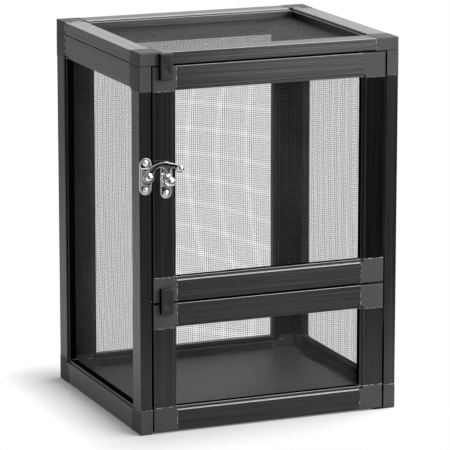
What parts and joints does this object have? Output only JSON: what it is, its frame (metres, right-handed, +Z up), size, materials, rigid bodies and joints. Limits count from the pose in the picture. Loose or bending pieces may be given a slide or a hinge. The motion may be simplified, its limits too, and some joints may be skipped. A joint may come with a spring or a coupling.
{
  "type": "mesh terrarium",
  "caption": "Upright box cage of dark bar-framed mesh panels with two side-hinged front doors, turn buttons and a swing hook latch.",
  "frame": {"origin": "middle of the bounding box on the floor it stands on", "axes": "+Z up along the height, the doors and the latch face -Y, +X to the right as seen from the front"},
  "size_m": [0.29, 0.2674, 0.4],
  "materials": {
    "black_aluminium": "satin black anodised",
    "black_plastic": "matte moulded",
    "black_mesh": "matt black woven wire",
    "spline_rubber": "matt",
    "floor_plastic": "matte sheet",
    "steel_hinge": "plain",
    "chrome": "polished"
  },
  "bodies": {
    "cage": {"left_panel_stiles": "black_aluminium", "left_panel_rails": "black_aluminium", "left_panel_corners": "black_plastic", "left_panel_mesh": "black_mesh", "left_panel_spline": "spline_rubber", "right_panel_stiles": "black_aluminium", "right_panel_rails": "black_aluminium", "right_panel_corners": "black_plastic", "right_panel_mesh": "black_mesh", "right_panel_spline": "spline_rubber", "back_panel_stiles": "black_aluminium", "back_panel_rails": "black_aluminium", "back_panel_corners": "black_plastic", "back_panel_mesh": "black_mesh", "back_panel_spline": "spline_rubber", "roof_stiles": "black_aluminium", "roof_rails": "black_aluminium", "roof_corners": "black_plastic", "roof_mesh": "black_mesh", "roof_spline": "spline_rubber", "base_stiles": "black_aluminium", "base_rails": "black_aluminium", "base_corners": "black_plastic", "floor_plate": "floor_plastic", "top_hinge_pin": "steel_hinge", "seam_hinge_bracket": "steel_hinge", "bottom_hinge_bracket": "steel_hinge", "latch_plate": "chrome", "latch_rivet": "chrome", "latch_screws": "chrome"},
    "upper_door": {"upper_door_stiles": "black_aluminium", "upper_door_rails": "black_aluminium", "upper_door_corners": "black_plastic", "upper_door_mesh": "black_mesh", "upper_door_spline": "spline_rubber", "catch_plate": "chrome", "catch_knob": "chrome", "catch_screws": "chrome"},
    "lower_door": {"lower_door_stiles": "black_aluminium", "lower_door_rails": "black_aluminium", "lower_door_corners": "black_plastic", "lower_door_mesh": "black_mesh", "lower_door_spline": "spline_rubber"},
    "upper_turn_button": {"upper_turn_button": "black_plastic"},
    "lower_turn_button": {"lower_turn_button": "black_plastic"},
    "latch_arm": {"latch_arm": "chrome"}
  },
  "joints": [
    {"name": "upper_door_hinge", "type": "hinge", "parent": "cage", "child": "upper_door", "pos_m": [0.122, -0.11235, 0.1395], "axis": [0, 0, 1], "range_deg": [0, 110]},
    {"name": "lower_door_hinge", "type": "hinge", "parent": "cage", "child": "lower_door", "pos_m": [0.122, -0.11235, 0.0015], "axis": [0, 0, 1], "range_deg": [0, 110]},
    {"name": "upper_button_pivot", "type": "hinge", "parent": "cage", "child": "upper_turn_button", "pos_m": [-0.1165, -0.11635, 0.39325], "axis": [0, -1, 0], "range_deg": [-90, 90]},
    {"name": "lower_button_pivot", "type": "hinge", "parent": "upper_door", "child": "lower_turn_button", "pos_m": [-0.1165, -0.11635, 0.1495], "axis": [0, -1, 0], "range_deg": [-90, 90]},
    {"name": "latch_arm_pivot", "type": "hinge", "parent": "cage", "child": "latch_arm", "pos_m": [-0.1363, -0.11635, 0.2732], "axis": [0, -1, 0], "range_deg": [0, 100]}
  ]
}
